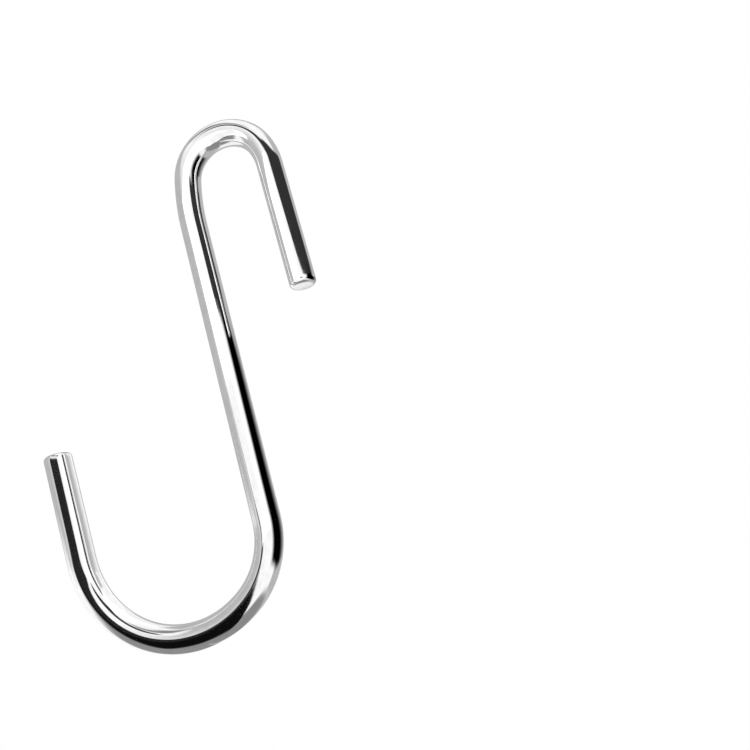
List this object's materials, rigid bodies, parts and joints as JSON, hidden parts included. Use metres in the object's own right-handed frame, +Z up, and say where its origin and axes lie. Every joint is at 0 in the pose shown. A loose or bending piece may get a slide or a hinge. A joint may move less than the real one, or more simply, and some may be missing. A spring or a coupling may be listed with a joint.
{
  "type": "s hook",
  "caption": "Hanging hook bent from round chromed steel rod. A small crest goes over a rail, and a wider bowl turned the other way carries the load.",
  "frame": {"origin": "inside top of the crest, at mid rod, where a rail touches", "axes": "+Z up as the hook hangs free, +Y away from the viewer and square to the plane of the bends, +X to the side that the upper arm is on"},
  "size_m": [0.0455, 0.0046, 0.0892],
  "materials": {
    "chromed_rod": "polished chrome plating"
  },
  "bodies": {
    "root": {"s_hook": "chromed_rod"}
  },
  "joints": []
}
